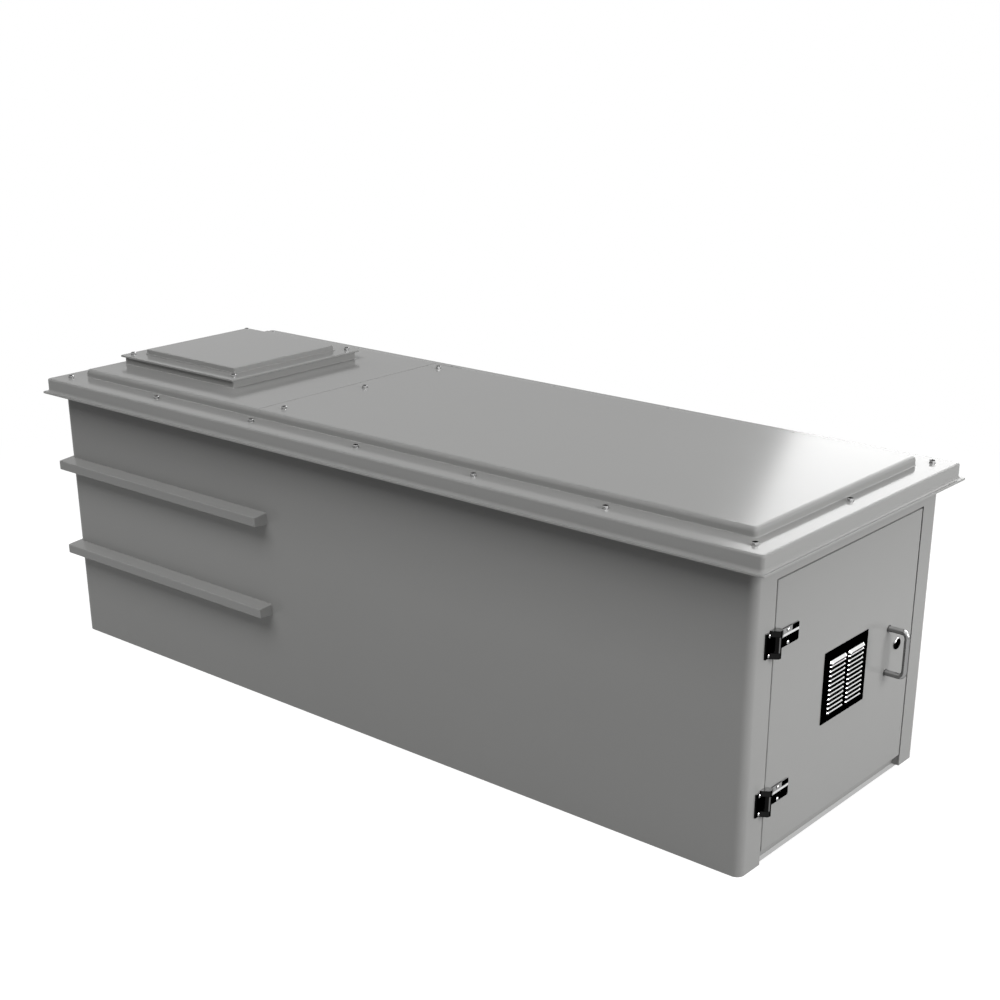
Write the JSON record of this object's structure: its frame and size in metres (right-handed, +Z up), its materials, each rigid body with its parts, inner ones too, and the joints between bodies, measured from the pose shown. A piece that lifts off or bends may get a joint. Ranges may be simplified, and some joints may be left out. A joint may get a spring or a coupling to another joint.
{
  "type": "roadside utility cabinet",
  "caption": "Low glass-fibre roadside cabinet with a flanged bolted roof, square hatch, side ribs and a hinged, louvred end door with a bow handle and a quarter-turn lock.",
  "frame": {"origin": "ground level at the centre of the shell's footprint, which is also the centre of the four anchor holes", "axes": "+X towards the end with the door, -Y the near long side in the picture, +Z up"},
  "size_m": [2.4155, 0.885, 0.827],
  "materials": {
    "grp_body": "gloss gelcoat, light grey",
    "grp_roof": "gloss gelcoat, light grey",
    "grp_door": "gloss gelcoat, light grey",
    "polished_stainless": "mirror polished stainless steel",
    "chrome": "bright chrome plate",
    "stainless": "bright stainless steel",
    "zinc_steel": "zinc plated steel",
    "rubber": "matt black rubber"
  },
  "bodies": {
    "cabinet": {"body_shell": "grp_body", "side_ribs": "grp_body", "roof_lid": "grp_roof", "roof_seal": "rubber", "cross_rail": "zinc_steel", "roof_washers": "stainless", "roof_bolts": "stainless", "roof_nuts": "stainless", "rail_washers": "stainless", "rail_bolts": "stainless", "rail_nuts": "stainless", "hatch_cover": "grp_roof", "hatch_seal": "rubber", "hatch_washers": "stainless", "hatch_bolts": "stainless", "hatch_nuts": "stainless", "strike_plate": "stainless", "frame_leaves": "polished_stainless", "hinge_pins": "stainless", "frame_hinge_screws": "stainless", "frame_backing_plates": "zinc_steel", "frame_hinge_nuts": "stainless"},
    "door": {"door_panel": "grp_door", "door_seal": "rubber", "vent_plate": "polished_stainless", "vent_screen": "stainless", "vent_frame": "zinc_steel", "vent_nuts": "stainless", "handle": "polished_stainless", "handle_washers": "stainless", "handle_screws": "stainless", "lock_housing": "chrome", "lock_ring": "zinc_steel", "door_leaves": "polished_stainless", "door_hinge_screws": "stainless", "door_backing_plates": "zinc_steel", "door_hinge_nuts": "stainless"},
    "lock": {"lock_spindle": "chrome", "lock_cam": "zinc_steel", "cam_screw": "zinc_steel"}
  },
  "joints": [
    {"name": "door_hinge", "type": "hinge", "parent": "cabinet", "child": "door", "pos_m": [1.1684, -0.32, 0.348], "axis": [0, 0, -1], "range_deg": [0, 120]},
    {"name": "lock_turn", "type": "hinge", "parent": "door", "child": "lock", "pos_m": [1.158, 0.25, 0.354], "axis": [1, 0, 0], "range_deg": [0, 90]}
  ]
}
